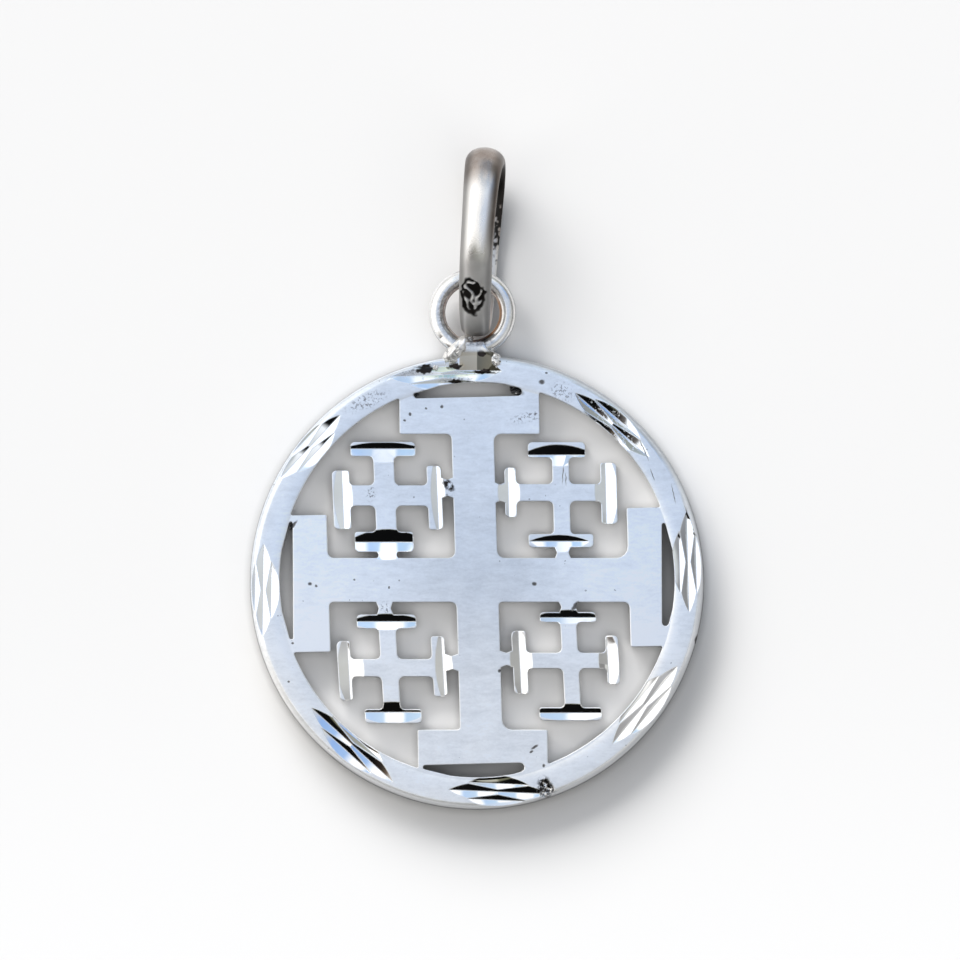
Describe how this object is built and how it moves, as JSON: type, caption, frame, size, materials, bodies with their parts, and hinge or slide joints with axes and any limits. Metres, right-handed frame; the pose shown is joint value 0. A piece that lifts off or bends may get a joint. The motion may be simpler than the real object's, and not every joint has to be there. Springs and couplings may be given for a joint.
{
  "type": "jerusalem cross pendant",
  "caption": "Round pierced pendant: a large potent cross with small potent crosses in its quarters, inside a faceted band, with an eye ring on its edge and a loose tapered bail for a chain.",
  "frame": {"origin": "middle of the disc's flat back, which rests on the ground", "axes": "+X to the right of the front face, +Y from the disc's middle to the bail, +Z out of the front face"},
  "size_m": [0.02, 0.0291, 0.0046],
  "materials": {
    "silver": "satin silver with bright cut facets",
    "bail_silver": "polished silver with light tarnish"
  },
  "bodies": {
    "root": {"medallion": "silver", "bail": "bail_silver"}
  },
  "joints": []
}
